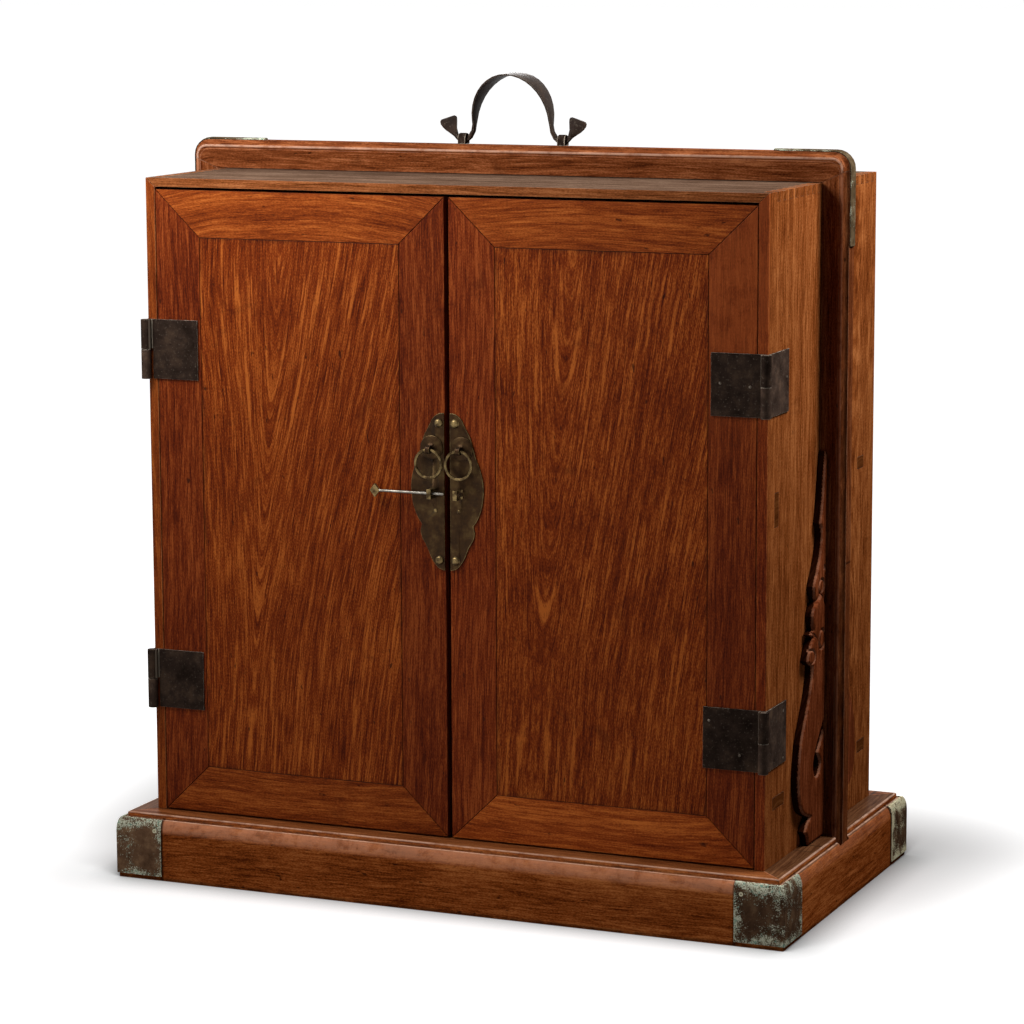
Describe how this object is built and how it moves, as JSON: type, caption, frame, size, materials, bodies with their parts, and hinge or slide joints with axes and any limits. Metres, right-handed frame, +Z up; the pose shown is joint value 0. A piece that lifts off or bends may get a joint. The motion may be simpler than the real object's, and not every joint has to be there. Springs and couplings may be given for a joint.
{
  "type": "book chest",
  "caption": "Upright two-door hardwood book chest on a moulded plinth, with a carrying frame, scroll spandrels, shelves, plate hinges, a sliding lock pin, ring pulls and a bail handle.",
  "frame": {"origin": "on the floor under the middle of the plinth", "axes": "+X to the right of someone facing the doors, +Y to the back, +Z up"},
  "size_m": [0.68, 0.37, 0.7691],
  "materials": {
    "case_wood": "waxed reddish-brown hardwood",
    "door_wood": "waxed red hardwood with figured grain",
    "frame_wood": "polished dark red-brown hardwood",
    "plinth_wood": "waxed golden-brown hardwood",
    "inner_wood": "plain unpolished wood",
    "dark_bronze": "dark patinated metal, worn at the edges",
    "aged_brass": "dark aged brass",
    "patinated_bronze": "sheet bronze with pale green corrosion at the edges"
  },
  "bodies": {
    "case": {"plinth_front_rail": "plinth_wood", "plinth_rear_rail": "plinth_wood", "plinth_left_rail": "plinth_wood", "plinth_right_rail": "plinth_wood", "plinth_floor_panel": "inner_wood", "plinth_mount_front_left": "patinated_bronze", "plinth_mount_front_right": "patinated_bronze", "plinth_mount_rear_left": "patinated_bronze", "plinth_mount_rear_right": "patinated_bronze", "case_left_side": "case_wood", "case_right_side": "case_wood", "case_top": "case_wood", "case_back": "inner_wood", "mid_shelf_front_rail": "inner_wood", "mid_shelf_rear_rail": "inner_wood", "mid_shelf_board": "inner_wood", "low_shelf_front_rail": "inner_wood", "low_shelf_rear_rail": "inner_wood", "low_shelf_board": "inner_wood", "frame_left_upright": "frame_wood", "frame_right_upright": "frame_wood", "frame_beam": "frame_wood", "frame_left_strap": "patinated_bronze", "frame_right_strap": "patinated_bronze", "spandrel_front_left": "frame_wood", "spandrel_rear_left": "frame_wood", "spandrel_front_right": "frame_wood", "spandrel_rear_right": "frame_wood", "left_upper_side_leaf": "dark_bronze", "left_lower_side_leaf": "dark_bronze", "right_upper_side_leaf": "dark_bronze", "right_lower_side_leaf": "dark_bronze", "bail_left_eye": "dark_bronze", "bail_right_eye": "dark_bronze"},
    "left_door": {"left_door_hinge_stile": "door_wood", "left_door_meeting_stile": "door_wood", "left_door_top_rail": "door_wood", "left_door_bottom_rail": "door_wood", "left_door_panel": "door_wood", "left_door_lower_batten": "inner_wood", "left_door_upper_batten": "inner_wood", "left_upper_door_leaf": "dark_bronze", "left_lower_door_leaf": "dark_bronze", "left_lock_plate": "aged_brass", "left_ring_post": "aged_brass"},
    "right_door": {"right_door_hinge_stile": "door_wood", "right_door_meeting_stile": "door_wood", "right_door_top_rail": "door_wood", "right_door_bottom_rail": "door_wood", "right_door_panel": "door_wood", "right_door_lower_batten": "inner_wood", "right_door_upper_batten": "inner_wood", "right_upper_door_leaf": "dark_bronze", "right_lower_door_leaf": "dark_bronze", "right_lock_plate": "aged_brass", "right_ring_post": "aged_brass"},
    "left_ring": {"left_ring": "aged_brass"},
    "right_ring": {"right_ring": "aged_brass"},
    "lock_pin": {"lock_pin": "aged_brass"},
    "bail": {"bail_handle": "dark_bronze"}
  },
  "joints": [
    {"name": "left_door_hinge", "type": "hinge", "parent": "case", "child": "left_door", "pos_m": [-0.31, -0.1602, 0.3525], "axis": [0, 0, -1], "range_deg": [0, 240]},
    {"name": "right_door_hinge", "type": "hinge", "parent": "case", "child": "right_door", "pos_m": [0.31, -0.1602, 0.3433], "axis": [0, 0, 1], "range_deg": [0, 240]},
    {"name": "left_ring_swing", "type": "hinge", "parent": "left_door", "child": "left_ring", "pos_m": [-0.0151, -0.1645, 0.4312], "axis": [-1, 0, 0], "range_deg": [-10, 95]},
    {"name": "right_ring_swing", "type": "hinge", "parent": "right_door", "child": "right_ring", "pos_m": [0.0151, -0.1645, 0.4312], "axis": [-1, 0, 0], "range_deg": [-10, 95]},
    {"name": "lock_pin_slide", "type": "slide", "parent": "left_door", "child": "lock_pin", "axis": [1, 0, 0], "range_m": [0, 0.049]},
    {"name": "bail_swing", "type": "hinge", "parent": "case", "child": "bail", "pos_m": [0, 0, 0.7058], "axis": [1, 0, 0], "range_deg": [-90, 90]}
  ]
}
